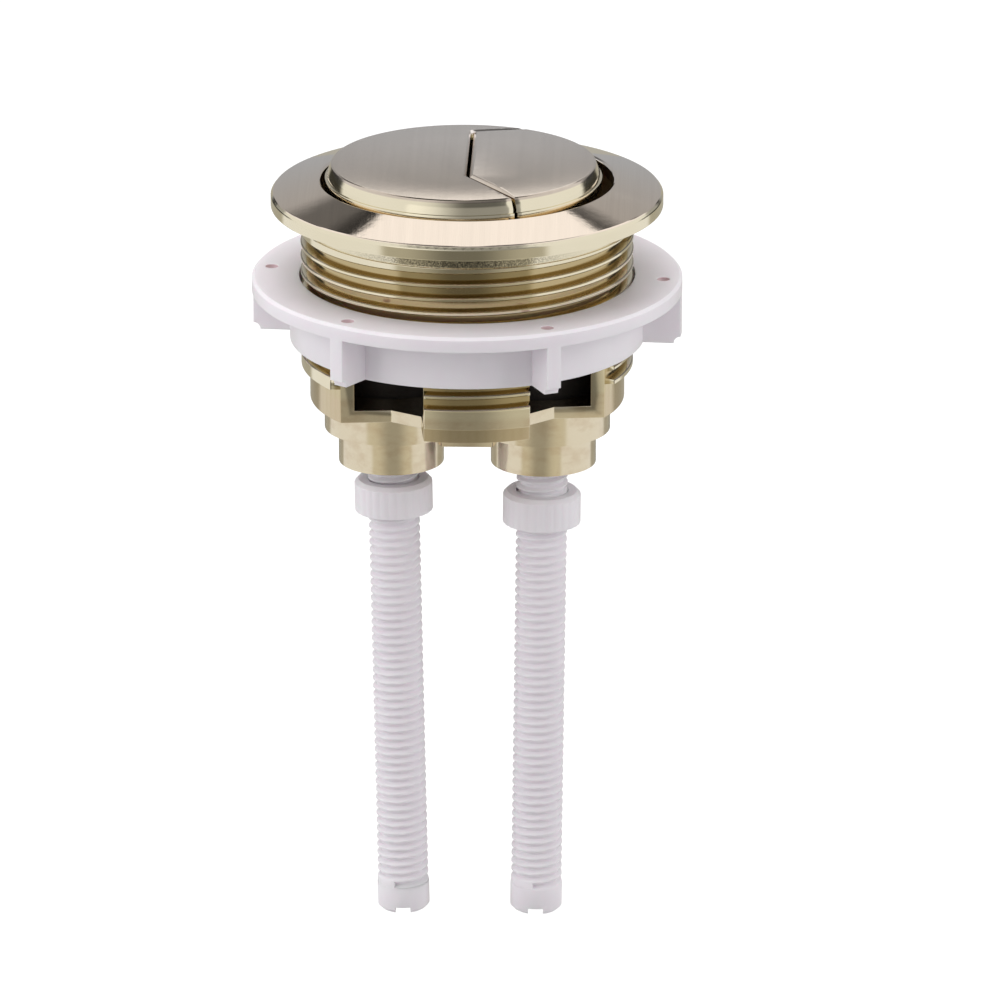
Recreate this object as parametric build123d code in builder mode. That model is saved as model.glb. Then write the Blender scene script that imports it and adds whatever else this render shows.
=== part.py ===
from build123d import *
from math import cos, pi, radians, sin
import os

os.makedirs("parts", exist_ok=True)

# Push button cistern actuator: a plated body hangs in the hole of a cistern lid by its flange and
# is held by a white nut from below. Two caps in the flange press two long screwed rods down on the
# flush valve. The origin is the centre of the flange's underside, on the lid; +Z is up, the front is
# -Y, and the full flush button is on the -X side.

# Flange
flange_width = 8.6
rim_height = 2.4
flange_rise = 2.3
rim_bevel = 0.5
opening_chamfer = 0.4

# Barrel below the flange: plain, with the threaded stretch as thick as the thread's crests
thread_radius = 28.9
thread_depth = 1.5
thread_bottom_z = -28.6
barrel_wall = 2.0
neck_step = 0.4
neck_length = 3.0

# Plain band that closes the thread on the front and rear walls
band_step = 0.2
band_rise = 0.5

# Windows: the barrel is cut back to a flat on each side of the front and rear walls
window_turn = 5.25
window_top_z = -16.0
wall_half_width = 9.1
wall_shoulder_y = 18.8
facet_end_x = 14.1
flat_distance = 15.1

# Base plate and the two stepped spring cups under it
base_top_z = -32.5
base_thickness = 2.2
cup_edge = 0.45
cup_depth = 6.0
cup_wall = 1.5
collar_wall = 1.3
collar_length = 6.2
bridge_thickness = 5.0
bridge_depth = 9.1

# Plungers: a stem in the collar, a spring seat with a skirt over the spring, a spigot in the cap
stem_radius = 6.6
stem_clearance = 0.1
seat_thickness = 1.5
seat_top_z = -2.0
skirt_wall = 0.9
skirt_clearance = 0.55
skirt_entry = 0.5
barb_recess = 1.5
barb_height = 1.4
barb_overhang = 0.9
barb_clearance = 0.4
barb_slot_width = 1.4
barb_slot_length = 11.0

# Caps: one round button split into a full flush and a half flush part
cap_shift_x = -0.6
cap_clearance = 0.8
cap_ledge_width = 0.4
cap_slope_width = 0.85
cap_ledge_z = 4.9
cap_foot_z = 5.6
cap_top_z = 7.75
cap_top_thickness = 1.85
cap_wall = 1.6
cap_bottom_z = -1.5
split_gap = 0.6
top_bevel = 0.5
split_corner_radius = 1.2
split_x = 0.4
split_front_y = -8.7
split_rear_inset = 4.55
split_front_angle = -57
split_rear_angle = 15
socket_wall = 1.5
socket_clearance = 0.1

# Springs round the stems
spring_wire = 1.0
spring_turns = 7
spring_steps = 10
spring_clearance = 0.1
spring_inner_play = 0.6
spring_outer_play = 0.5

# Rods and their lock nuts
rod_radius = 4.5
rod_bottom_z = -131.0
rod_length = 108.0
rod_play = 0.3
rod_end_gap = 2.0
rod_lean = {"full_flush": 1.1, "half_flush": 0.7}
rod_collar_radius = 4.6
rod_collar_length = 4.9
rod_tip_bevel = 0.7
driver_slot_width = 2.65
driver_slot_depth = 1.2
lock_nut_radius = 6.85
lock_nut_height = 6.0
lock_nut_top_z = {"full_flush": -50.2, "half_flush": -52.3}
lock_nut_play = 0.1
flute_count = 12
flute_radius = 1.6
flute_depth = 0.25

# Mounting nut
nut_top_z = -12.6
nut_height = 11.2
nut_play = 0.3
nut_wall = 1.65
nut_flange_width = 6.55
nut_flange_thickness = 2.6
nut_bevel = 0.5
lug_count = 6
lug_phase = 25.0
lug_thickness = 2.5
lug_corner_radius = 1.2
lug_root = 0.5

barrel_radius = thread_radius - thread_depth
opening_radius = barrel_radius - barrel_wall
flange_radius = opening_radius + flange_width
neck_radius = thread_radius - neck_step
band_radius = thread_radius - band_step
band_bottom_z = base_top_z + band_rise
base_bottom_z = base_top_z - base_thickness
cup_bottom_z = base_bottom_z - cup_depth
cup_floor_z = cup_bottom_z + cup_wall
collar_bottom_z = cup_bottom_z - collar_length
guide_radius = stem_radius + stem_clearance
barb_radius = stem_radius + barb_overhang
collar_radius = barb_radius + barb_clearance + collar_wall
stem_bottom_z = collar_bottom_z + barb_recess
barb_top_z = stem_bottom_z + barb_height
spring_radius = stem_radius + spring_inner_play + spring_wire / 2
skirt_bore_radius = spring_radius + spring_wire / 2 + spring_outer_play
seat_radius = skirt_bore_radius + skirt_wall
seat_bottom_z = seat_top_z - seat_thickness
skirt_bottom_z = base_top_z - skirt_entry
cup_bore_radius = seat_radius + skirt_clearance
cup_radius = cup_bore_radius + cup_wall
cup_offset = opening_radius - cup_edge - cup_radius
cap_ledge_radius = opening_radius - cap_clearance - abs(cap_shift_x)
cap_foot_radius = cap_ledge_radius - cap_ledge_width
cap_top_radius = cap_foot_radius - cap_slope_width
cap_under_z = cap_top_z - cap_top_thickness
split_rear_y = cap_top_radius - split_rear_inset
socket_bore_radius = stem_radius + socket_clearance
rod_hole_radius = rod_radius + rod_play
rod_hole_top_z = rod_bottom_z + rod_length + rod_end_gap
nut_bore_radius = thread_radius + nut_play
nut_hub_radius = nut_bore_radius + nut_wall
nut_flange_radius = nut_hub_radius + nut_flange_width
sides = {"full_flush": -cup_offset, "half_flush": cup_offset}


def save(piece, name):
    """Name a finished piece and write it as its own file."""
    piece.label = name
    export_step(piece, f"parts/{name}.step")


def rod_plane(side):
    """Plane across a rod's leaning axis, at the middle of its hold in the plunger."""
    middle_z = (rod_bottom_z + rod_length + stem_bottom_z) / 2
    lean = radians(rod_lean[side])
    inward = 1 if sides[side] < 0 else -1
    up = (-inward * sin(lean), 0, cos(lean))
    return Plane(origin=(sides[side], 0, middle_z), x_dir=(0, -1, 0), z_dir=up)


def height_on_rod(side, z):
    """Distance along a rod's axis from its plane to the given height."""
    plane = rod_plane(side)
    return (z - plane.origin.Z) / plane.z_dir.Z


# Housing: flange, barrel, base plate and spring cups in one plated moulding
with BuildPart() as housing:
    with BuildSketch(Plane.XZ):
        with BuildLine():
            Polyline(
                (opening_radius, base_top_z),
                (barrel_radius, base_top_z),
                (barrel_radius, thread_bottom_z),
                (thread_radius, thread_bottom_z),
                (thread_radius, -neck_length),
                (neck_radius, -neck_length),
                (neck_radius, 0),
                (flange_radius, 0),
                (flange_radius, rim_height),
                (opening_radius, rim_height + flange_rise),
                close=True,
            )
        make_face()
    revolve(axis=Axis.Z)
    rim_edges = housing.edges().filter_by(GeomType.CIRCLE).group_by(SortBy.RADIUS)[-1]
    chamfer(rim_edges.sort_by(Axis.Z)[-1], length=rim_bevel)
    mouth = housing.edges().filter_by(GeomType.CIRCLE).group_by(Axis.Z)[-1]
    chamfer(mouth, length=opening_chamfer)

    # Plain band over the last turns of the thread
    with BuildSketch(Plane.XY.offset(band_bottom_z)):
        Circle(band_radius)
        Circle(opening_radius, mode=Mode.SUBTRACT)
    extrude(amount=thread_bottom_z - band_bottom_z)
    with BuildSketch(Plane.XY.offset(band_bottom_z).rotated((0, 0, window_turn))):
        Rectangle(3 * thread_radius, 2 * flat_distance)
        Circle(barrel_radius, mode=Mode.SUBTRACT)
    extrude(amount=thread_bottom_z - band_bottom_z, mode=Mode.SUBTRACT)

    # Base plate
    with BuildSketch(Plane.XY.offset(base_bottom_z)):
        Circle(barrel_radius)
    extrude(amount=base_thickness)

    # Windows at the front and the rear, down through the edge of the base plate
    for turn in (window_turn, window_turn + 180):
        with BuildSketch(Plane.XY.offset(base_bottom_z).rotated((0, 0, turn))):
            with BuildLine():
                Polyline(
                    (wall_half_width, -wall_shoulder_y),
                    (facet_end_x, -flat_distance),
                    (flange_radius, -flat_distance),
                    (flange_radius, -flange_radius),
                    (wall_half_width, -flange_radius),
                    close=True,
                )
            make_face()
            mirror(about=Plane.YZ)
        extrude(amount=window_top_z - base_bottom_z, mode=Mode.SUBTRACT)

    # Stepped spring cups and the bridge between their collars
    for x in sides.values():
        with BuildSketch(Plane.XY.offset(cup_bottom_z)):
            with Locations((x, 0)):
                Circle(cup_radius)
        extrude(amount=cup_depth)
        with BuildSketch(Plane.XY.offset(collar_bottom_z)):
            with Locations((x, 0)):
                Circle(collar_radius)
        extrude(amount=collar_length)
    with BuildSketch(Plane.XY.offset(base_bottom_z - bridge_depth)):
        Rectangle(2 * cup_offset, bridge_thickness)
    extrude(amount=bridge_depth)
    for x in sides.values():
        with BuildSketch(Plane.XY.offset(cup_floor_z)):
            with Locations((x, 0)):
                Circle(cup_bore_radius)
        extrude(amount=base_top_z - cup_floor_z, mode=Mode.SUBTRACT)
        with BuildSketch(Plane.XY.offset(collar_bottom_z)):
            with Locations((x, 0)):
                Circle(guide_radius)
        extrude(amount=cup_floor_z - collar_bottom_z, mode=Mode.SUBTRACT)
        with BuildSketch(Plane.XY.offset(collar_bottom_z)):
            with Locations((x, 0)):
                Circle(barb_radius + barb_clearance)
        extrude(amount=barb_top_z + barb_clearance - collar_bottom_z, mode=Mode.SUBTRACT)
save(housing.part, "housing")

# Mounting nut: white flange nut with six finger lugs under its flange
with BuildPart() as mounting_nut:
    with BuildSketch(Plane.XZ):
        with BuildLine():
            Polyline(
                (nut_bore_radius, nut_top_z - nut_height),
                (nut_hub_radius, nut_top_z - nut_height),
                (nut_hub_radius, nut_top_z - nut_flange_thickness),
                (nut_flange_radius, nut_top_z - nut_flange_thickness),
                (nut_flange_radius, nut_top_z),
                (nut_bore_radius, nut_top_z),
                close=True,
            )
        make_face()
    revolve(axis=Axis.Z)
    rim_edges = mounting_nut.edges().filter_by(GeomType.CIRCLE).group_by(SortBy.RADIUS)[-1]
    chamfer(rim_edges.sort_by(Axis.Z)[-1], length=nut_bevel)
    lug_inner_radius = nut_hub_radius - lug_root
    lug_top_z = nut_top_z - nut_flange_thickness + lug_root
    lug_bottom_z = nut_top_z - nut_height
    for index in range(lug_count):
        angle = lug_phase - 90 + index * 360 / lug_count
        with BuildSketch(Plane.XZ.rotated((0, 0, angle)).offset(-lug_thickness / 2)):
            with BuildLine():
                Polyline(
                    (lug_inner_radius, lug_top_z),
                    (lug_inner_radius, lug_bottom_z),
                    (nut_flange_radius - lug_corner_radius, lug_bottom_z),
                )
                RadiusArc(
                    (nut_flange_radius - lug_corner_radius, lug_bottom_z),
                    (nut_flange_radius, lug_bottom_z + lug_corner_radius),
                    lug_corner_radius,
                )
                Polyline(
                    (nut_flange_radius, lug_bottom_z + lug_corner_radius),
                    (nut_flange_radius, lug_top_z),
                    (lug_inner_radius, lug_top_z),
                )
            make_face()
        extrude(amount=lug_thickness)
save(mounting_nut.part, "mounting_nut")

# Outline of the half flush cap: the round button is split along three straight edges
with BuildSketch() as split_outline:
    with BuildLine():
        middle = Line((split_x, split_front_y), (split_x, split_rear_y))
        front = PolarLine(middle @ 0, length=cap_ledge_radius, angle=split_front_angle)
        rear = PolarLine(middle @ 1, length=cap_ledge_radius, angle=split_rear_angle)
        Polyline(
            front @ 1,
            (2 * cap_ledge_radius, (front @ 1).Y),
            (2 * cap_ledge_radius, (rear @ 1).Y),
            rear @ 1,
        )
    make_face()
    corners = split_outline.vertices().group_by(Axis.X)[0]
    fillet(corners, radius=split_corner_radius)

with BuildSketch() as half_flush_outline:
    add(split_outline.sketch)
    offset(amount=-split_gap / 2, kind=Kind.INTERSECTION)
    with Locations((cap_shift_x, 0)):
        Circle(cap_ledge_radius, mode=Mode.INTERSECT)

with BuildSketch() as full_flush_outline:
    with Locations((cap_shift_x, 0)):
        Circle(cap_ledge_radius)
    add(offset(split_outline.sketch, amount=split_gap / 2, mode=Mode.PRIVATE), mode=Mode.SUBTRACT)

# Caps: plated shells with a flat top, a bevelled rim and a socket for the plunger
cap_axis = Axis((cap_shift_x, 0, 0), (0, 0, 1))
cap_plane = Plane(origin=(cap_shift_x, 0, 0), x_dir=(1, 0, 0), z_dir=(0, -1, 0))
outlines = {"full_flush": full_flush_outline, "half_flush": half_flush_outline}
for side, outline in outlines.items():
    with BuildPart() as cap:
        with BuildSketch(cap_plane):
            with BuildLine():
                Polyline(
                    (0, cap_bottom_z),
                    (cap_ledge_radius, cap_bottom_z),
                    (cap_ledge_radius, cap_ledge_z),
                    (cap_foot_radius, cap_ledge_z),
                    (cap_foot_radius, cap_foot_z),
                    (cap_top_radius, cap_top_z),
                    (0, cap_top_z),
                    close=True,
                )
            make_face()
        revolve(axis=cap_axis)
        with BuildSketch(Plane.XY.offset(cap_bottom_z)):
            add(outline.sketch)
        extrude(amount=cap_top_z - cap_bottom_z, mode=Mode.INTERSECT)
        chamfer(cap.faces().sort_by(Axis.Z)[-1].edges(), length=top_bevel)
        with BuildSketch(Plane.XY.offset(cap_bottom_z)):
            add(outline.sketch)
            offset(amount=-cap_wall)
        extrude(amount=cap_under_z - cap_bottom_z, mode=Mode.SUBTRACT)
        with BuildSketch(Plane.XY.offset(seat_top_z)):
            with Locations((sides[side], 0)):
                Circle(socket_bore_radius + socket_wall)
                Circle(socket_bore_radius, mode=Mode.SUBTRACT)
        extrude(amount=cap_under_z - seat_top_z)
    save(cap.part, f"{side}_cap")

# Plungers: dark stems that slide in the collars, held there by two barbs; a skirt hides the spring
for side, x in sides.items():
    with BuildPart() as plunger:
        with BuildSketch(Plane(origin=(x, 0, 0), x_dir=(1, 0, 0), z_dir=(0, -1, 0))):
            with BuildLine():
                Polyline(
                    (0, rod_hole_top_z),
                    (rod_hole_radius, rod_hole_top_z),
                    (rod_hole_radius, stem_bottom_z),
                    (stem_radius, stem_bottom_z),
                    (barb_radius, barb_top_z),
                    (stem_radius, barb_top_z),
                    (stem_radius, seat_bottom_z),
                    (skirt_bore_radius, seat_bottom_z),
                    (skirt_bore_radius, skirt_bottom_z),
                    (seat_radius, skirt_bottom_z),
                    (seat_radius, seat_top_z),
                    (stem_radius, seat_top_z),
                    (stem_radius, cap_under_z),
                    (0, cap_under_z),
                    close=True,
                )
            make_face()
        revolve(axis=Axis((x, 0, 0), (0, 0, 1)))
        with BuildSketch(Plane.XY.offset(stem_bottom_z)):
            with Locations((x, 0)):
                Rectangle(barb_slot_width, 3 * stem_radius)
        extrude(amount=barb_slot_length, mode=Mode.SUBTRACT)
    save(plunger.part, f"{side}_plunger")

# Springs: steel coils between the cup floors and the spring seats
spring_bottom_z = cup_floor_z + spring_clearance + spring_wire / 2
spring_top_z = seat_bottom_z - spring_clearance - spring_wire / 2
for side, x in sides.items():
    with BuildPart() as spring:
        with BuildLine() as coil:
            steps = spring_turns * spring_steps
            Polyline(
                *[
                    (
                        x + spring_radius * cos(2 * pi * step / spring_steps),
                        spring_radius * sin(2 * pi * step / spring_steps),
                        spring_bottom_z + (spring_top_z - spring_bottom_z) * step / steps,
                    )
                    for step in range(steps + 1)
                ]
            )
        with BuildSketch(Plane(origin=coil.line @ 0, z_dir=coil.line % 0)):
            RegularPolygon(spring_wire / 2, side_count=6)
        sweep(path=coil.line, transition=Transition.RIGHT)
    save(spring.part, f"{side}_spring")

# Rods: white screws in the plungers, with a plain slotted end that presses the valve
for side in sides:
    axis_plane = rod_plane(side)
    bottom = height_on_rod(side, rod_bottom_z)
    with BuildPart() as rod:
        with BuildSketch(axis_plane.offset(bottom)):
            Circle(rod_collar_radius)
        extrude(amount=rod_collar_length)
        chamfer(rod.faces().sort_by(Axis.Z)[0].edges(), length=rod_tip_bevel)
        with BuildSketch(axis_plane.offset(bottom + rod_collar_length)):
            Circle(rod_radius)
        extrude(amount=rod_length - rod_collar_length)
        with BuildSketch(axis_plane.offset(bottom)):
            Rectangle(3 * rod_radius, driver_slot_width)
        extrude(amount=driver_slot_depth, mode=Mode.SUBTRACT)
    save(rod.part, f"{side}_rod")

# Lock nuts: fluted white collars on the rods, just under the cups
for side in sides:
    axis_plane = rod_plane(side)
    bottom = height_on_rod(side, lock_nut_top_z[side] - lock_nut_height)
    with BuildPart() as lock_nut:
        with BuildSketch(axis_plane.offset(bottom)):
            Circle(lock_nut_radius)
            Circle(rod_radius + lock_nut_play, mode=Mode.SUBTRACT)
        extrude(amount=lock_nut_height)
        with BuildSketch(axis_plane.offset(bottom)):
            with PolarLocations(lock_nut_radius + flute_radius - flute_depth, flute_count):
                Circle(flute_radius)
        extrude(amount=lock_nut_height, mode=Mode.SUBTRACT)
    save(lock_nut.part, f"{side}_lock_nut")
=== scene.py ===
from math import cos, pi, radians, sin

import bmesh
import bpy
import numpy as np
from mathutils import Matrix, Vector


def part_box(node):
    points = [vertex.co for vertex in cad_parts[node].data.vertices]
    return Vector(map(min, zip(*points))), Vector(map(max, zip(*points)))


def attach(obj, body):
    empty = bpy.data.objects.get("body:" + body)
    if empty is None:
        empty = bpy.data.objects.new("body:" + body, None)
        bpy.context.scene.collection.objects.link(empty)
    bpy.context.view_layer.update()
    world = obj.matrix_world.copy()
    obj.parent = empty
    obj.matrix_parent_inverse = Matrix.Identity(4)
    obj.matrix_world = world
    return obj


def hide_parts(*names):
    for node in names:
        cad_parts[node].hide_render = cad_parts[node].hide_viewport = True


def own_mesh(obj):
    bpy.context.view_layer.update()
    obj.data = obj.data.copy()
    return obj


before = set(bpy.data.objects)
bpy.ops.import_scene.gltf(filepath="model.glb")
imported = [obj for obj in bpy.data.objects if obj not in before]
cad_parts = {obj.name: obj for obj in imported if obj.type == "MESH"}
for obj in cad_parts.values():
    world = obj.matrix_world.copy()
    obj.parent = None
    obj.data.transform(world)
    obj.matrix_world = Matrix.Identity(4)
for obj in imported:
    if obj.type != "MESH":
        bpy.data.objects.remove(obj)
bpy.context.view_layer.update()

# Studio: the actuator is held upright over a white table in a white room, and a long lens looks at
# it from the front and a little above. What the plating mirrors is a room with tall white screens at
# both sides, a white ceiling panel behind the object and grey walls between them.
mm = 0.001
camera_turn, camera_rise = radians(1.5), radians(19.066)
camera_distance = 1403.01 * mm
aim = Vector((5.71 * mm, 0, -54.375 * mm))
full_press_depth = 6 * mm
floor_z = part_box("full_flush_rod")[0][2] - full_press_depth - 1 * mm


class Field:
    """One output of a shader node. Sums, products and the like of fields add their Math nodes."""

    def __init__(self, nodes, socket):
        self.nodes = nodes
        self.socket = socket

    def __add__(self, other):
        return self.nodes.math("ADD", self, other)

    def __radd__(self, other):
        return self.nodes.math("ADD", other, self)

    def __sub__(self, other):
        return self.nodes.math("SUBTRACT", self, other)

    def __rsub__(self, other):
        return self.nodes.math("SUBTRACT", other, self)

    def __mul__(self, other):
        return self.nodes.math("MULTIPLY", self, other)

    def __rmul__(self, other):
        return self.nodes.math("MULTIPLY", other, self)


class NodeTree:
    """The node tree of a material or a world, filled one node at a time."""

    def __init__(self, owner):
        owner.use_nodes = True
        self.tree = owner.node_tree
        self.tree.nodes.clear()

    def node(self, kind, settings, sockets, out=0):
        """Makes a node, applies its settings, feeds its sockets, and returns one of its outputs."""
        made = self.tree.nodes.new("ShaderNode" + kind)
        for name, value in settings.items():
            setattr(made, name, value)
        for name, value in sockets.items():
            if isinstance(value, Field):
                self.tree.links.new(value.socket, made.inputs[name])
            else:
                made.inputs[name].default_value = value
        return Field(self, made.outputs[out]) if len(made.outputs) else made

    def math(self, operation, *values):
        """A Math node over the values."""
        return self.node("Math", {"operation": operation}, dict(enumerate(values)))

    def step(self, value, low, high):
        """A smooth step: 0 below low, 1 above high."""
        sockets = {"Value": value, "From Min": low, "From Max": high}
        return self.node("MapRange", {"interpolation_type": "SMOOTHSTEP"}, sockets)

    def within(self, value, rise, fall):
        """1 between the stretches rise and fall, 0 outside them, and a smooth step over each."""
        return self.step(value, *rise) * self.step(value, fall[1], fall[0])

    def rays(self, kind):
        """1 for the rays of a kind, such as Camera or Glossy, and 0 for the others."""
        return self.node("LightPath", {}, {}, out=f"Is {kind} Ray")

    def length(self, first, second):
        """The length of the flat vector of two fields."""
        return self.math("SQRT", first * first + second * second)

    def mix(self, share, first, second):
        """The colour between first and second, by share."""
        return self.node("Mix", {"data_type": "RGBA"}, {0: share, 6: first, 7: second}, out=2)

    def place(self, kind="Object"):
        """The three coordinates of a point, as fields."""
        vector = self.node("TexCoord", {}, {}, out=kind)
        return [self.node("SeparateXYZ", {}, {0: vector}, out=axis) for axis in range(3)]

    def grain(self, stretch, detail=3.0, roughness=0.5):
        """Noise from 0 to 1 whose frequency along X, Y and Z is stretch, in waves a metre."""
        vector = self.node("TexCoord", {}, {}, out="Object")
        stretched = self.node("Mapping", {}, {"Vector": vector, "Scale": stretch})
        sockets = {"Vector": stretched, "Scale": 1.0, "Detail": detail, "Roughness": roughness}
        return self.node("TexNoise", {}, sockets)


def mirrored_room(room):
    """The brightness that a glossy ray finds in each direction of the room. Across, depth and height
    are the direction's own parts, and sideways is how far it turns from the middle, -1 to 1."""
    across, depth, height = room.place("Generated")
    sideways = room.math("DIVIDE", across, room.length(across, depth))
    askew = room.math("ABSOLUTE", sideways)
    in_front = room.step(depth, 0.05, -0.05)
    panel_rise = height + 0.09 * sideways

    lit_side = room.step(room.math("ABSOLUTE", sideways - 0.3), 0.2, 0.95)
    below_top = room.step(height, 0.85, 0.65)
    low_strip = room.step(height, 0.37, 0.31)
    high_band = room.within(height, (0.52, 0.62), (0.80, 0.88))
    front_wall = 0.13 + 0.82 * lit_side * below_top + 0.2 * low_strip + 0.3 * high_band

    dusk = room.step(height, 0.40, 0.50) * room.step(sideways, -0.05, -0.2)
    border = room.step(panel_rise, 0.54, 0.61) * room.step(askew, 0.10, 0.16)
    haze = room.step(askew, 0.19, 0.08) * room.step(height, 0.355, 0.425)
    corner = room.step(height, 0.16, 0.08) * room.step(askew, 0.4, 0.5)
    rear_wall = (0.40 - 0.26 * dusk) * (1 - 0.8 * border) + haze
    rear_wall = rear_wall * (1 - 0.88 * corner)

    set_back = 0.13 * (1 - in_front) * room.step(height, 0.25, 0.15)
    screens = room.step(askew - set_back, 0.70, 0.75) * room.step(height, 0.88, 0.75)
    walls = rear_wall + in_front * (front_wall - rear_wall)
    walls = walls + screens * (0.95 - walls)
    panel = room.step(panel_rise, 0.615, 0.632) * room.step(height, 0.92, 0.87)
    panel = panel * room.step(depth, 0.15, 0.3)
    return walls + panel * (1.04 - walls)


def mirrored_table(paper):
    """The brightness that a glossy ray finds on the table, where the room's walls and screens go on,
    and the share of it that the screens have. Away is the distance from the object's axis."""
    across, depth, _ = paper.place()
    away = paper.length(across, depth)
    askew = paper.math("ABSOLUTE", paper.math("DIVIDE", across, away))
    behind = paper.step(depth, -0.05, 0.05)
    far = behind * paper.step(away, 0.5, 0.8)
    screens = paper.step(askew - 0.13 * far, 0.70, 0.77)
    near = 0.18 + 0.24 * paper.step(away, 0.42, 0.29) + 0.3 * paper.step(askew, 0.12, 0.6)
    plain = near + behind * (0.45 - near)
    level = plain + screens * (0.93 - plain)
    corner = far * paper.step(askew, 0.4, 0.5) * (1 - screens)
    return level * (1 - 0.9 * corner), screens


world = bpy.data.worlds.new("white_room")
bpy.context.scene.world = world
room = NodeTree(world)
ambient = 0.55
level = ambient + (1 - ambient) * room.math("MAXIMUM", room.rays("Camera"), room.rays("Transmission"))
level = level + room.rays("Glossy") * (mirrored_room(room) - level)
sky = room.node("Background", {}, {"Color": (1, 1, 1, 1), "Strength": level})
room.node("OutputWorld", {}, {"Surface": sky})

table_reach = 4.0
quarters = ((-1, -1), (1, -1), (1, 1), (-1, 1))
corners = [(x * table_reach, y * table_reach, floor_z) for x, y in quarters]
floor_mesh = bpy.data.meshes.new("table")
floor_mesh.from_pydata(corners, [], [(0, 1, 2, 3)])
table = bpy.data.objects.new("table", floor_mesh)
bpy.context.collection.objects.link(table)
white = bpy.data.materials.new("table_white")
paper = NodeTree(white)
lit = paper.node("BsdfDiffuse", {}, {"Color": (0.35, 0.35, 0.35, 1)})
shine = 0.15 + 0.61 * paper.math("MAXIMUM", paper.rays("Camera"), paper.rays("Transmission"))
glow = paper.node("Emission", {}, {"Color": (1, 1, 1, 1), "Strength": shine})
both = paper.node("AddShader", {}, {0: lit, 1: glow})
mirrored, screens = mirrored_table(paper)
tint = paper.mix(screens, (1, 0.95, 0.80, 1), (1, 1, 1, 1))
mirror = paper.node("Emission", {}, {"Color": tint, "Strength": mirrored})
parted = paper.node("MixShader", {}, {0: paper.rays("Glossy"), 1: both, 2: mirror})
paper.node("OutputMaterial", {}, {"Surface": parted})
floor_mesh.materials.append(white)


def softbox(name, place, towards, width, depth, power):
    """A rectangular lamp at place, turned towards a point."""
    lamp = bpy.data.lights.new(name, "AREA")
    lamp.shape = "RECTANGLE"
    lamp.size = width
    lamp.size_y = depth
    lamp.energy = power
    stand = bpy.data.objects.new(name, lamp)
    stand.location = place
    stand.rotation_euler = (Vector(towards) - Vector(place)).to_track_quat("-Z", "Y").to_euler()
    stand.visible_camera = False
    stand.visible_glossy = False
    bpy.context.collection.objects.link(stand)


lit_top, lit_middle = (0, 0, -0.03), (0, 0, -0.06)
softbox("overhead_softbox", (-0.10, 0.10, 0.95), lit_top, width=0.9, depth=0.7, power=5)
softbox("left_softbox", (-0.95, -0.35, 0.35), lit_middle, width=0.6, depth=0.8, power=5)
softbox("right_softbox", (0.95, -0.35, 0.35), lit_middle, width=0.6, depth=0.8, power=4)

camera_data = bpy.data.cameras.new("long_lens")
camera_data.sensor_width = 36
camera_data.lens = 288
camera_data.clip_end = 20
camera = bpy.data.objects.new("long_lens", camera_data)
way_back = Vector((
    sin(camera_turn) * cos(camera_rise),
    -cos(camera_turn) * cos(camera_rise),
    sin(camera_rise),
))
camera.location = aim + camera_distance * way_back
camera.rotation_euler = (-way_back).to_track_quat("-Z", "Y").to_euler()
bpy.context.collection.objects.link(camera)
bpy.context.scene.camera = camera
bpy.context.scene.view_settings.view_transform = "Standard"

# Housing: one plastic moulding, plated in pale gold. Its flange is brushed from front to back, and
# the barrel, the base plate and the spring cups below it are left bright from the mould. The
# thread of 2.5 mm pitch that the nut runs on is cut here into the barrel.
thread_crest_radius = 28.9 * mm
thread_root_radius = 27.5 * mm
thread_pitch = 2.5 * mm
thread_top_z, thread_bottom_z = -3.06 * mm, -28.84 * mm
plain_band_z = -28.6 * mm
opening_radius = 25.4 * mm
groove_root_width, groove_mouth_width, crest_chamfer = 1.1 * mm, 1.76 * mm, 0.2 * mm
housing_edge = 0.12 * mm
brushed_rim_z = 2.35 * mm
touching = 0.0001 * mm
sharp_angle = radians(28)
turned_slack = 0.06
dark_gold, pale_gold = (0.76, 0.69, 0.51, 1), (0.84, 0.77, 0.60, 1)
# Painted shade: the groove and crest tones darken the thread's groove and lines along its crests, the sand
# tone darkens the neck under the flange, and the wall tone darkens the inside of the barrel.
groove_shade_tone, crest_shade_tone = (0.50, 0.40, 0.22, 1), (0.14, 0.10, 0.07, 1)
neck_shade_tone, stain_tone, inner_wall_shade_tone = (0.16, 0.14, 0.10, 1), (0.62, 0.50, 0.35, 1), (0.50, 0.39, 0.25, 1)


def surface(name, x, y, z, capped=False, closed=False):
    """An object over a grid of points, each of whose rows is a ring: x, y and z are arrays that fit the
    grid. Capped closes the first and the last ring with a face, and closed joins them to each other."""
    grid = np.stack(np.broadcast_arrays(x, y, z), axis=-1)
    if closed:
        grid = np.concatenate([grid, grid[:1]])
    rows, columns = grid.shape[:2]
    row, column = np.meshgrid(np.arange(rows - 1), np.arange(columns), indexing="ij")
    left, right = row * columns + column, row * columns + (column + 1) % columns
    corners = [left, right, right + columns, left + columns]
    faces = np.stack(corners, axis=-1).reshape(-1, 4).tolist()
    if capped:
        last = rows * columns - 1
        faces += [list(range(columns)), list(range(last, last - columns, -1))]
    mesh = bpy.data.meshes.new(name)
    mesh.from_pydata(grid.reshape(-1, 3).tolist(), [], faces)
    weld(mesh)
    made = bpy.data.objects.new(name, mesh)
    bpy.context.collection.objects.link(made)
    return made


def weld(mesh):
    """Merges equal points, drops flat slivers and turns every face outwards."""
    work = bmesh.new()
    work.from_mesh(mesh)
    bmesh.ops.remove_doubles(work, verts=work.verts, dist=touching)
    bmesh.ops.dissolve_degenerate(work, edges=work.edges, dist=touching)
    bmesh.ops.recalc_face_normals(work, faces=work.faces)
    work.to_mesh(mesh)
    work.free()


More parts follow.
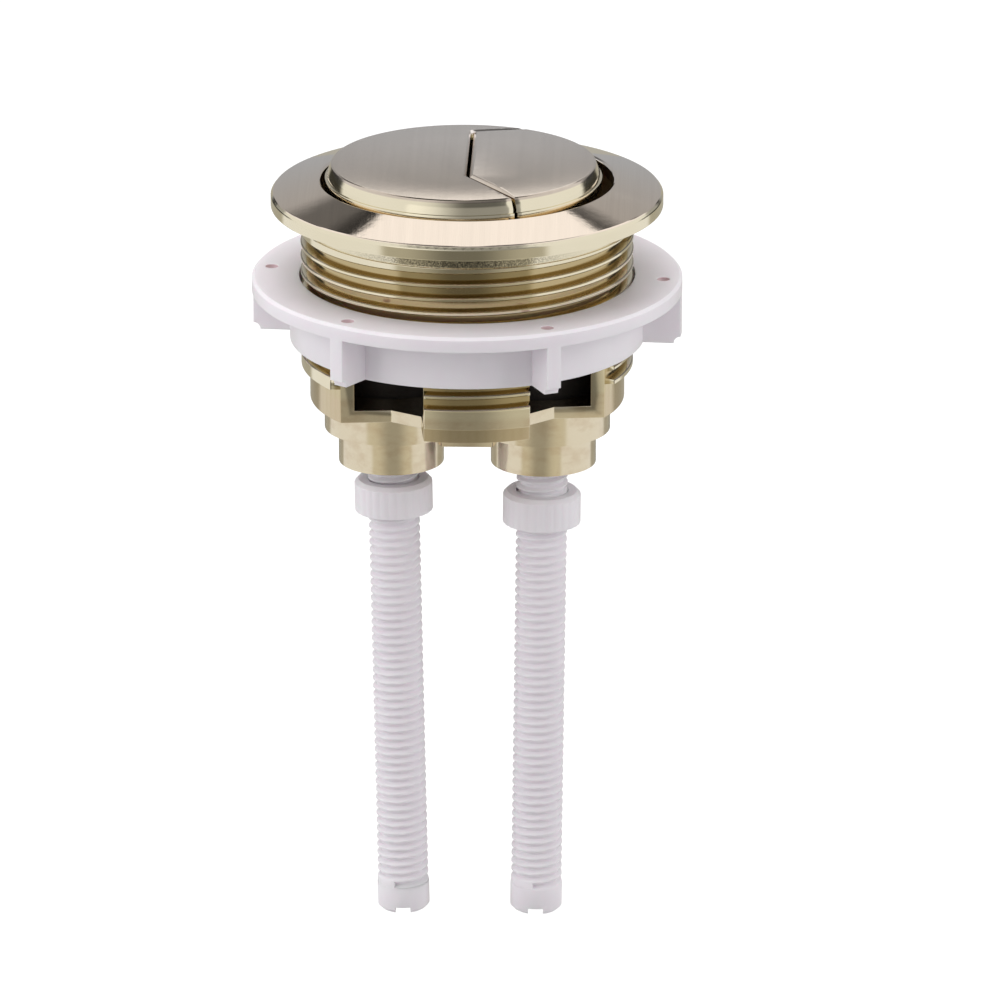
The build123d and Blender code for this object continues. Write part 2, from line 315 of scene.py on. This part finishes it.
def thread_groove(crest, root, pitch, mouth, floor, shoulder, top, bottom):
    """A closed bar wound down a right-hand helix, to cut the groove of a thread. A point at turn t
    lies at height -pitch t plus its height in the section, and the groove's two ends just reach top
    and bottom. The section is floor wide at the root radius and mouth wide a shoulder below the crest
    radius, and from there it opens at 45 degrees, which chamfers the crest."""
    half_mouth, half_floor = mouth / 2, floor / 2
    flare = half_mouth + 1.5 * shoulder
    section_radius = np.array([root, root, crest - shoulder, crest + 0.5 * shoulder])
    section_radius = np.append(section_radius, section_radius[:1:-1])
    section_height = np.array([-half_floor, half_floor, half_mouth, flare, -flare, -half_mouth])
    turns = (top - bottom - 2 * flare) / pitch
    steps_a_turn = 42 + 2.8 * crest / mm
    turn = np.linspace(0, turns, int(turns * steps_a_turn))[:, None]
    angle = -2 * pi * turn
    x, y = section_radius * np.cos(angle), section_radius * np.sin(angle)
    z = top - flare - pitch * turn + section_height
    return surface("thread_groove", x, y, z, capped=True)


def clean_copy(node, name):
    """A copy of a solid's mesh with equal points merged, its flat faces whole and no material."""
    copy = bpy.data.objects.new(name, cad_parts[node].data.copy())
    bpy.context.collection.objects.link(copy)
    copy.data.materials.clear()
    work = bmesh.new()
    work.from_mesh(copy.data)
    bmesh.ops.remove_doubles(work, verts=work.verts, dist=touching)
    bmesh.ops.dissolve_limit(work, angle_limit=radians(0.4), verts=work.verts, edges=work.edges)
    work.to_mesh(copy.data)
    work.free()
    copy.data.shade_smooth()
    return copy


def add_rounding(copy, edge, limit):
    """Rounds edges: the sharp ones, or with the limit WEIGHT those that carry a bevel weight."""
    rounding = copy.modifiers.new("rounding", "BEVEL")
    rounding.width = edge
    rounding.segments = 2
    rounding.limit_method = limit
    rounding.angle_limit = sharp_angle


def add_cuts(copy, cutters):
    """Takes each cutter out of the copy."""
    for cutter in cutters:
        cut = copy.modifiers.new("cut", "BOOLEAN")
        cut.operation = "DIFFERENCE"
        cut.solver = "MANIFOLD"
        cut.object = cutter


def settle(copy, cutters=()):
    """Applies the copy's modifiers, removes the used cutters and shades the curved faces smooth."""
    bpy.context.view_layer.update()
    depsgraph = bpy.context.evaluated_depsgraph_get()
    whole = bpy.data.meshes.new_from_object(copy.evaluated_get(depsgraph))
    copy.modifiers.clear()
    copy.data = whole
    copy.data.materials.clear()
    copy.data.shade_smooth()
    copy.data.set_sharp_from_angle(angle=radians(32))
    for cutter in cutters:
        bpy.data.objects.remove(cutter)


def finished_copy(node, name, edge, cutters=()):
    """A clean copy of a solid with its sharp edges rounded and the cutters taken out of it."""
    copy = clean_copy(node, name)
    add_rounding(copy, edge, "ANGLE")
    copy.modifiers["rounding"].harden_normals = not cutters
    add_cuts(copy, cutters)
    settle(copy, cutters)
    return copy


def turned_normals(mesh):
    """Gives the faces that were turned about the Z axis the normals of a true surface of revolution:
    the corner's own direction from the axis, with the face's tilt. A face counts as turned where its
    normal points less than turned_slack past the axis."""
    corners = np.empty(len(mesh.loops), dtype=np.int32)
    mesh.loops.foreach_get("vertex_index", corners)
    points = np.empty(len(mesh.vertices) * 3, dtype=np.float32)
    mesh.vertices.foreach_get("co", points)
    sizes = np.empty(len(mesh.polygons), dtype=np.int32)
    mesh.polygons.foreach_get("loop_total", sizes)
    tilts = np.empty(len(mesh.polygons) * 3, dtype=np.float32)
    mesh.polygons.foreach_get("normal", tilts)
    smooth = np.empty(len(mesh.loops) * 3, dtype=np.float32)
    mesh.corner_normals.foreach_get("vector", smooth)
    smooth = smooth.reshape(-1, 3)
    tilts = np.repeat(tilts.reshape(-1, 3), sizes, axis=0)
    outward = points.reshape(-1, 3)[corners] * (1, 1, 0)
    outward /= np.maximum(np.linalg.norm(outward, axis=1, keepdims=True), 1e-9)
    radial = (tilts * outward).sum(axis=1, keepdims=True)
    sideways = np.abs(tilts[:, :1] * outward[:, 1:2] - tilts[:, 1:2] * outward[:, :1])
    turned = outward * np.sign(radial) * np.sqrt(1 - tilts[:, 2:] ** 2) + tilts * (0, 0, 1)
    mesh.normals_split_custom_set(np.where(sideways < turned_slack, turned, smooth).tolist())


def plated(name, brushed_from, matt, front_painted_light, rear_painted_light):
    """Pale gold plate. Above the height brushed_from it is brushed along Y, to the roughness matt, and
    its tone goes from the front tone to the rear tone, a painted light gradient from front to rear.
    Below, it is bright, with painted shade: darker in the thread's groove, dark painted lines along its
    crests, sandy and dark on the neck under the flange, and darker as well as dull inside the barrel.
    It is also stained on the cups."""
    material = bpy.data.materials.new(name)
    plate = NodeTree(material)
    x, y, z = plate.place()
    radius = plate.length(x, y)
    crest, root = thread_crest_radius, thread_root_radius
    below_neck = plate.step(z, thread_top_z + 0.1 * mm, thread_top_z)
    cloud = plate.grain((90, 90, 90), detail=2)
    bright_tone = plate.mix(cloud, dark_gold, pale_gold)

    # Painted shade: the thread's groove is painted a darker gold.
    groove = plate.within(radius, (root - 0.2 * mm, root - 0.05 * mm), (root + 0.4 * mm, crest - 0.3 * mm))
    groove = groove * plate.step(z, thread_top_z + 0.3 * mm, thread_top_z)
    bright_tone = plate.mix(groove, bright_tone, groove_shade_tone)

    # Painted shade: dark lines are painted along the chamfers of the thread's crests, where the plate
    # mirrors dark.
    crest_rise = crest - 0.22 * mm, crest - 0.18 * mm
    crest_fall = crest - 0.08 * mm, crest - 0.04 * mm
    crest_shade_line = plate.within(radius, crest_rise, crest_fall) * below_neck
    crest_shade_line = crest_shade_line * plate.step(z, plain_band_z, plain_band_z + 0.1 * mm)
    bright_tone = plate.mix(0.75 * crest_shade_line, bright_tone, crest_shade_tone)

    # Painted shade: the neck under the flange is painted dark in a sandy grain, most at the front middle.
    neck = plate.within(z, (-3.1 * mm, -2.7 * mm), (-0.5 * mm, 0.0))
    neck = neck * plate.step(radius, crest + 0.1 * mm, crest - 0.2 * mm)
    middle = plate.step(plate.math("ABSOLUTE", x), 24 * mm, 4 * mm)
    sand = plate.grain((7000, 7000, 5000), detail=3)
    sandy_neck_shade = neck * plate.step(sand, 0.62, 0.42) * middle
    bright_tone = plate.mix(sandy_neck_shade, bright_tone, neck_shade_tone)

    cups = plate.step(z, -29.5 * mm, -31.0 * mm)
    stain = plate.grain((230, 230, 340), detail=4, roughness=0.6)
    stained = cups * (0.35 + 0.4 * plate.step(stain, 0.42, 0.70))
    bright_tone = plate.mix(stained, bright_tone, stain_tone)

    # Painted shade: the inside of the barrel is painted a darker gold; its extra roughness is its own.
    wall_rise = opening_radius - 0.15 * mm, opening_radius - 0.07 * mm
    wall_fall = opening_radius + 0.05 * mm, opening_radius + 0.15 * mm
    inside = plate.within(radius, wall_rise, wall_fall) * plate.step(z, -32.3 * mm, -32.0 * mm)
    bright_tone = plate.mix(inside, bright_tone, inner_wall_shade_tone)

    brushed = plate.step(z, brushed_from - 0.1 * mm, brushed_from + 0.1 * mm)
    strokes = plate.grain((9000, 40, 300), detail=4, roughness=0.6)
    wide_strokes = plate.grain((900, 9, 60), detail=2)
    # Painted light: the brushed tone goes from the front tone to the rear tone along Y, in place of light
    # mirrored from the room.
    painted_light_gradient = plate.mix(plate.step(y, -22 * mm, 22 * mm), front_painted_light, rear_painted_light)
    stroke_tone = plate.mix(0.12 * strokes + 0.1 * wide_strokes, painted_light_gradient, (0, 0, 0, 1))
    tone = plate.mix(brushed, bright_tone, stroke_tone)

    peel = plate.grain((700, 700, 700), detail=3)
    ripple = plate.grain((330, 330, 120), detail=3)
    brushing = strokes * 0.5 + wide_strokes * 1.2 + ripple * 3.0
    relief = brushed * brushing + (1 - brushed) * (1 - inside) * peel * 0.6
    normal = plate.node("Bump", {}, {"Height": relief, "Strength": 1.0, "Distance": 0.004 * mm})
    bright_roughness = 0.09 + 0.05 * cloud + 0.04 * cups + 0.22 * inside
    roughness = bright_roughness + brushed * (matt + 0.05 * strokes - bright_roughness)
    metal = {"Base Color": tone, "Metallic": 1.0, "Roughness": roughness, "Normal": normal}
    plate.node("OutputMaterial", {}, {"Surface": plate.node("BsdfPrincipled", {}, metal)})
    return material


barrel_groove = thread_groove(
    crest=thread_crest_radius, root=thread_root_radius, pitch=thread_pitch, mouth=groove_mouth_width,
    floor=groove_root_width, shoulder=crest_chamfer, top=thread_top_z, bottom=thread_bottom_z,
)
housing = finished_copy("housing", "plated_housing", housing_edge, [barrel_groove])
turned_normals(housing.data)
# Painted light: the flange's front tone is a warmer painted highlight colour, its rear tone paler.
gold = plated(
    "gold_plate_housing", brushed_from=brushed_rim_z, matt=0.03,
    front_painted_light=(1.0, 0.86, 0.72, 1), rear_painted_light=(0.99, 0.94, 0.91, 1),
)
housing.data.materials.append(gold)
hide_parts("housing")
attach(housing, "housing")

# Caps: the two halves of the split button, plated as the housing. Their tops are brushed and fall
# away a little towards the rim, and the slope below and the edges along the split are polished.
brushed_cap_z = 6.9 * mm
cap_axis_x = -0.6 * mm
fall_start, fall_end, fall_depth = 13.5 * mm, 21.4 * mm, 0.24 * mm
top_rounding, low_rounding = 0.28 * mm, 0.1 * mm


def cap_trimmer():
    """The space above the caps' tops. Its underside is turned about the caps' axis: its height is the
    caps' top, less the fall's depth times the square of the way from the fall's start to its end. Its
    middle, which cuts nothing, is lifted clear of the flat top."""
    inner, outer = 12 * mm, 26 * mm
    clear, lift, thickness = 0.004 * mm, 0.3 * mm, 2 * mm
    reach = np.linspace(inner, outer, 25)[:, None]
    share = (reach - fall_start) / (fall_end - fall_start)
    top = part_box("full_flush_cap")[1][2]
    height = top + clear - fall_depth * np.maximum(share, 0) ** 2 + lift * (share < -0.1)
    radius = np.concatenate([reach, [[outer], [inner]]])
    height = np.concatenate([height, [[top + thickness], [top + thickness]]])
    turn = np.linspace(0, 2 * pi, 160, endpoint=False)
    x, y = cap_axis_x + radius * np.cos(turn), radius * np.sin(turn)
    return surface("cap_trimmer", x, y, height, closed=True)


def weigh_edges(mesh, top_from, low_share):
    """Gives the sharp edges above the height top_from the whole bevel weight and the others a share."""
    work = bmesh.new()
    work.from_mesh(mesh)
    weight = work.edges.layers.float.new("bevel_weight_edge")
    for edge in work.edges:
        if edge.calc_face_angle(0) > sharp_angle:
            edge[weight] = 1 if min(corner.co.z for corner in edge.verts) > top_from else low_share
    work.to_mesh(mesh)
    work.free()


for side in ("full", "half"):
    cap = clean_copy(f"{side}_flush_cap", f"plated_{side}_flush_cap")
    trimmer = cap_trimmer()
    add_cuts(cap, [trimmer])
    settle(cap, [trimmer])
    weigh_edges(cap.data, brushed_cap_z, low_rounding / top_rounding)
    add_rounding(cap, top_rounding, "WEIGHT")
    settle(cap)
    # Painted light: each cap's top is painted darker at the front as shade and light at the rear.
    gold = plated(
        f"gold_plate_{side}_cap", brushed_from=brushed_cap_z, matt=0.13,
        front_painted_light=(0.68, 0.585, 0.49, 1), rear_painted_light=(1.0, 0.94, 0.90, 1),
    )
    cap.data.materials.append(gold)
    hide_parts(f"{side}_flush_cap")
    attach(cap, f"{side}_button")

# Plungers: black moulded stems that carry the caps, each with a skirt that hides its return spring.
# The skirts show through the windows of the barrel. Barbs under the cups keep the plungers in place.
plunger_edge = 0.1 * mm
black = bpy.data.materials.new("black_plastic")
moulded = NodeTree(black)
fleck = moulded.grain((1500, 1500, 1500), detail=2)
tone = moulded.mix(fleck, (0.026, 0.022, 0.020, 1), (0.045, 0.039, 0.036, 1))
normal = moulded.node("Bump", {}, {"Height": fleck, "Strength": 0.5, "Distance": 0.01 * mm})
plastic = {"Base Color": tone, "Roughness": 0.45 + 0.1 * fleck, "Normal": normal}
moulded.node("OutputMaterial", {}, {"Surface": moulded.node("BsdfPrincipled", {}, plastic)})
for side in ("full", "half"):
    plunger = finished_copy(f"{side}_flush_plunger", f"black_{side}_flush_plunger", plunger_edge)
    plunger.data.materials.append(black)
    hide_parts(f"{side}_flush_plunger")
    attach(plunger, f"{side}_button")

# Springs: return springs of 1 mm steel wire, seven turns, loose round the stems between the cup
# floors and the plungers' spring seats. On the real actuator they shorten as a button is pressed,
# but each is drawn here as one fixed coil on the housing.
wire_radius = 0.5 * mm
coil_radius = 7.7 * mm
coil_turns = 7
steel = bpy.data.materials.new("spring_steel")
drawn = NodeTree(steel)
scratch = drawn.grain((900, 900, 2500), detail=3)
tone = drawn.mix(scratch, (0.42, 0.42, 0.43, 1), (0.62, 0.62, 0.63, 1))
metal = {"Base Color": tone, "Metallic": 1.0, "Roughness": 0.22 + 0.15 * scratch}
drawn.node("OutputMaterial", {}, {"Surface": drawn.node("BsdfPrincipled", {}, metal)})


def coil(name, centre_x, bottom, top):
    """A round wire along a helix: the centre line rises evenly from bottom to top, and the wire's
    section is a circle in the plane of the radius and the vertical."""
    turn = np.linspace(0, coil_turns, coil_turns * 48)[:, None]
    section = np.linspace(0, 2 * pi, 12, endpoint=False)
    radius = coil_radius + wire_radius * np.cos(section)
    centre_z = bottom + wire_radius + (top - bottom - 2 * wire_radius) * turn / coil_turns
    x = centre_x + radius * np.cos(2 * pi * turn)
    y = radius * np.sin(2 * pi * turn)
    z = centre_z + wire_radius * np.sin(section)
    made = surface(name, x, y, z, capped=True)
    made.data.shade_smooth()
    made.data.materials.append(steel)
    return made


for side in ("full", "half"):
    low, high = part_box(f"{side}_flush_spring")
    spring = coil(f"steel_{side}_flush_spring", (low[0] + high[0]) / 2, low[2], high[2])
    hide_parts(f"{side}_flush_spring")
    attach(spring, "housing")
    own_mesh(spring)

# Rods: long white screws with a thread of 1.5 mm pitch and a plain end with a driver slot. They are
# screwed into the plungers from below to suit the depth of the cistern, and lean a little inwards.
rod_crest_radius, rod_root_radius = 4.5 * mm, 3.85 * mm
rod_pitch = 1.5 * mm
rod_mouth_width, rod_root_width, rod_crest_chamfer = 1.05 * mm, 0.35 * mm, 0.08 * mm
rod_lean = {"full": radians(-1.1), "half": radians(0.7)}
rod_pivot_z = -34.2 * mm
plain_end_length, groove_overrun = 4.9 * mm, 0.5 * mm
rod_edge = 0.1 * mm
nut_top_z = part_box("mounting_nut")[1][2]
sink_distance, sink_depth = 34.2 * mm, 0.6 * mm
# The sink tone is the sinks' redder plastic, also painted darker as shade.
soft_white, pale_white, sink_red_and_shade_tone = (0.80, 0.755, 0.80, 1), (0.86, 0.825, 0.86, 1), (0.58, 0.42, 0.45, 1)


def white_moulding():
    """White plastic, faintly mottled, with a soft gloss. In a ring just under the top of the mounting
    nut, which only the nut's sink marks open to view, it is a little redder and painted darker as
    shade."""
    material = bpy.data.materials.new("white_plastic")
    moulded = NodeTree(material)
    mottle = moulded.grain((160, 160, 60), detail=3)
    skin = moulded.grain((2600, 2600, 2600), detail=2)
    tone = moulded.mix(mottle, soft_white, pale_white)

    x, y, z = moulded.place()
    radius = moulded.length(x, y)
    ring_rise = sink_distance - 1.8 * mm, sink_distance - 1.5 * mm
    ring_fall = sink_distance + 1.5 * mm, sink_distance + 1.8 * mm
    foot = nut_top_z - sink_depth - 0.2 * mm, nut_top_z - sink_depth - 0.1 * mm
    mouth = nut_top_z - 0.15 * mm, nut_top_z - 0.02 * mm
    # Redder plastic and painted shade: the sink marks are tinted redder and darker.
    sunk = moulded.within(z, foot, mouth) * moulded.within(radius, ring_rise, ring_fall)
    tone = moulded.mix(sunk, tone, sink_red_and_shade_tone)

    normal = moulded.node("Bump", {}, {"Height": skin, "Strength": 0.4, "Distance": 0.006 * mm})
    plastic = {
        "Base Color": tone, "Roughness": 0.3 + 0.1 * mottle, "Normal": normal,
        "Subsurface Weight": 0.5, "Subsurface Radius": (1.0, 0.8, 0.9), "Subsurface Scale": 2.0 * mm,
    }
    moulded.node("OutputMaterial", {}, {"Surface": moulded.node("BsdfPrincipled", {}, plastic)})
    return material


def leaning(side):
    """What takes an upright shape from the origin to the rod's pivot in its plunger, and leans it."""
    low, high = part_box(f"{side}_flush_plunger")
    pivot = Matrix.Translation(((low[0] + high[0]) / 2, 0, rod_pivot_z))
    return pivot @ Matrix.Rotation(rod_lean[side], 4, "Y")


white_plastic = white_moulding()
for side in ("full", "half"):
    low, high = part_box(f"{side}_flush_rod")
    rod_groove = thread_groove(
        crest=rod_crest_radius, root=rod_root_radius, pitch=rod_pitch, mouth=rod_mouth_width,
        floor=rod_root_width, shoulder=rod_crest_chamfer,
        top=high[2] - rod_pivot_z + groove_overrun, bottom=low[2] - rod_pivot_z + plain_end_length,
    )
    rod_groove.data.transform(leaning(side))
    rod = finished_copy(f"{side}_flush_rod", f"white_{side}_flush_rod", rod_edge, [rod_groove])
    rod.data.materials.append(white_plastic)
    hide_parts(f"{side}_flush_rod")
    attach(rod, f"{side}_rod")

# Lock nuts: white collars with shallow upright ribs and bevelled rims, screwed on the rods up under
# the cups.
collar_radius, collar_bore = 6.83 * mm, 4.6 * mm
collar_height, collar_bevel = 6.0 * mm, 0.7 * mm
rib_count, rib_depth = 28, 0.09 * mm
collar_bottom_z = {"full": -56.2 * mm, "half": -58.3 * mm}


def ribbed_collar(name):
    """A closed ring round the Z axis from height 0 up: a section of eight corners, from the bore out
    and back, goes round the axis, and the side's radius dips by the rib depth between the ribs."""
    side, bore, top = collar_radius, collar_bore, collar_height
    rim, foot_bevel = side - collar_bevel, 0.35 * collar_bevel
    corner_radius = np.array([bore, rim, side, side, side, rim, bore, bore])
    corner_height = np.array([0, 0, foot_bevel, collar_bevel, top - collar_bevel, top, top, 0])
    ribbed = np.array([0, 0, 1, 1, 1, 0, 0, 0])
    turn = np.linspace(0, 2 * pi, rib_count * 8, endpoint=False)[:, None]
    dip = rib_depth * (0.5 - 0.5 * np.cos(rib_count * turn)) ** 3
    radius = corner_radius - ribbed * dip
    return surface(name, radius * np.cos(turn), radius * np.sin(turn), corner_height, closed=True)


for side in ("full", "half"):
    collar = ribbed_collar(f"white_{side}_flush_lock_nut")
    lift = (collar_bottom_z[side] - rod_pivot_z) / cos(rod_lean[side])
    collar.data.transform(leaning(side) @ Matrix.Translation((0, 0, lift)))
    collar.data.shade_smooth()
    collar.data.set_sharp_from_angle(angle=radians(25))
    collar.data.materials.append(white_plastic)
    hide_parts(f"{side}_flush_lock_nut")
    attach(collar, f"{side}_lock_nut")

# Mounting nut: a white flange nut with six finger lugs, screwed up the barrel under the lid. Over
# each lug its top has a shallow round sink mark, where the plastic is a little redder and is painted
# darker as shade.
sink_angle, sink_radius = radians(-64.8), 1.2 * mm
nut_edge = 0.2 * mm


def sink_cutter(x, y, z, radius):
    """A ball: its points lie at radius from (x, y, z), over angles round the vertical and from it."""
    turn = np.linspace(0, 2 * pi, 32, endpoint=False)
    fall = np.linspace(0, pi, 17)[:, None]
    ring = radius * np.sin(fall)
    height = radius * np.cos(fall)
    return surface("sink_cutter", ring * np.cos(turn) + x, ring * np.sin(turn) + y, height + z)


ball_radius = (sink_radius ** 2 + sink_depth ** 2) / (2 * sink_depth)
ball_z = nut_top_z + ball_radius - sink_depth
sinks = []
for index in range(6):
    angle = sink_angle + index * pi / 3
    x, y = sink_distance * cos(angle), sink_distance * sin(angle)
    sinks.append(sink_cutter(x, y, ball_z, ball_radius))
nut = finished_copy("mounting_nut", "white_mounting_nut", nut_edge, sinks)
turned_normals(nut.data)
nut.data.materials.append(white_plastic)
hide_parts("mounting_nut")
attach(nut, "mounting_nut")
